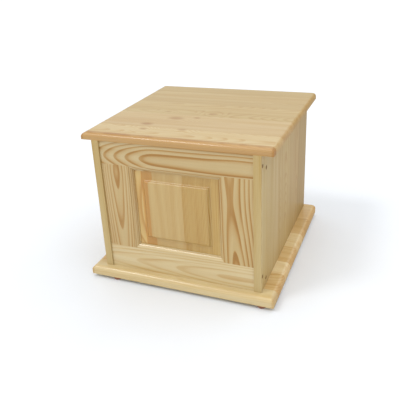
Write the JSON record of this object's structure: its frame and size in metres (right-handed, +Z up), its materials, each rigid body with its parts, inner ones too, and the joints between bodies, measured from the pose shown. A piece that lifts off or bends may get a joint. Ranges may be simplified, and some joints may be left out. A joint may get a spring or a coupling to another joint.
{
  "type": "wooden toy box",
  "caption": "Pine toy box with a framed raised-panel front, moulded base board, small round feet and a rear-hinged moulded lid held open by a folding stay.",
  "frame": {"origin": "centre of the footprint on the floor, at the bottom of the feet", "axes": "+X to the right and +Y to the back as seen from the framed front, +Z up"},
  "size_m": [0.536, 0.567, 0.433],
  "materials": {
    "pine_base": "clear satin lacquer over pale edge-glued pine",
    "pine_side": "clear satin lacquer over pale edge-glued pine",
    "pine_rail": "clear satin lacquer over plain-sawn pine",
    "pine_stile": "clear satin lacquer over plain-sawn pine",
    "pine_panel": "clear satin lacquer over edge-glued pine",
    "pine_inner": "planed pine, thinly lacquered",
    "steel": "zinc-plated steel",
    "cap_plastic": "brown plastic",
    "foot_plastic": "reddish brown plastic",
    "hinge_metal": "satin brass plating",
    "pine_lid": "clear satin lacquer over pale edge-glued pine"
  },
  "bodies": {
    "carcass": {"base_board": "pine_base", "side_panel_left": "pine_side", "side_panel_right": "pine_side", "front_top_rail": "pine_rail", "front_bottom_rail": "pine_rail", "front_stile_left": "pine_stile", "front_stile_right": "pine_stile", "front_raised_panel": "pine_panel", "front_batten_top": "pine_inner", "front_batten_bottom": "pine_inner", "back_top_rail": "pine_inner", "back_bottom_rail": "pine_inner", "back_panel": "pine_inner", "base_cleat_left": "pine_inner", "base_cleat_right": "pine_inner", "side_screws_left": "steel", "side_screws_right": "steel", "screw_caps_left": "cap_plastic", "screw_caps_right": "cap_plastic", "base_screws": "steel", "cleat_screws": "steel", "foot_front_left": "foot_plastic", "foot_front_right": "foot_plastic", "foot_back_left": "foot_plastic", "foot_back_right": "foot_plastic", "foot_screws": "steel", "hinge_rail_leaf_left": "hinge_metal", "hinge_rail_leaf_right": "hinge_metal", "hinge_pin_left": "hinge_metal", "hinge_pin_right": "hinge_metal", "hinge_rail_screws": "hinge_metal", "stay_side_plate": "steel", "stay_side_screws": "steel", "stay_side_rivet": "steel"},
    "lid": {"lid_board": "pine_lid", "lid_batten_left": "pine_inner", "lid_batten_right": "pine_inner", "lid_batten_screws": "steel", "hinge_lid_leaf_left": "hinge_metal", "hinge_lid_leaf_right": "hinge_metal", "hinge_lid_screws": "hinge_metal", "stay_lid_bracket": "steel", "stay_lid_screws": "steel", "stay_lid_rivet": "steel"},
    "stay_lower": {"stay_lower_arm": "steel", "stay_knee_rivet": "steel"},
    "stay_upper": {"stay_upper_arm": "steel", "stay_knee_cap": "steel"}
  },
  "joints": [
    {"name": "lid_hinge", "type": "hinge", "parent": "carcass", "child": "lid", "pos_m": [0, 0.2575, 0.415], "axis": [-1, 0, 0], "range_deg": [0, 95]},
    {"name": "stay_lower_pivot", "type": "hinge", "parent": "carcass", "child": "stay_lower", "pos_m": [0.206, 0.1975, 0.315], "axis": [-1, 0, 0], "range_deg": [0, 95.9]},
    {"name": "stay_upper_pivot", "type": "hinge", "parent": "lid", "child": "stay_upper", "pos_m": [0.202, 0.0975, 0.399], "axis": [-1, 0, 0], "range_deg": [-96.1, 0]}
  ],
  "couplings": [
    {"joint": "stay_lower_pivot", "follows": "lid_hinge", "ratio": 1.009},
    {"joint": "stay_upper_pivot", "follows": "lid_hinge", "ratio": -1.0108}
  ]
}
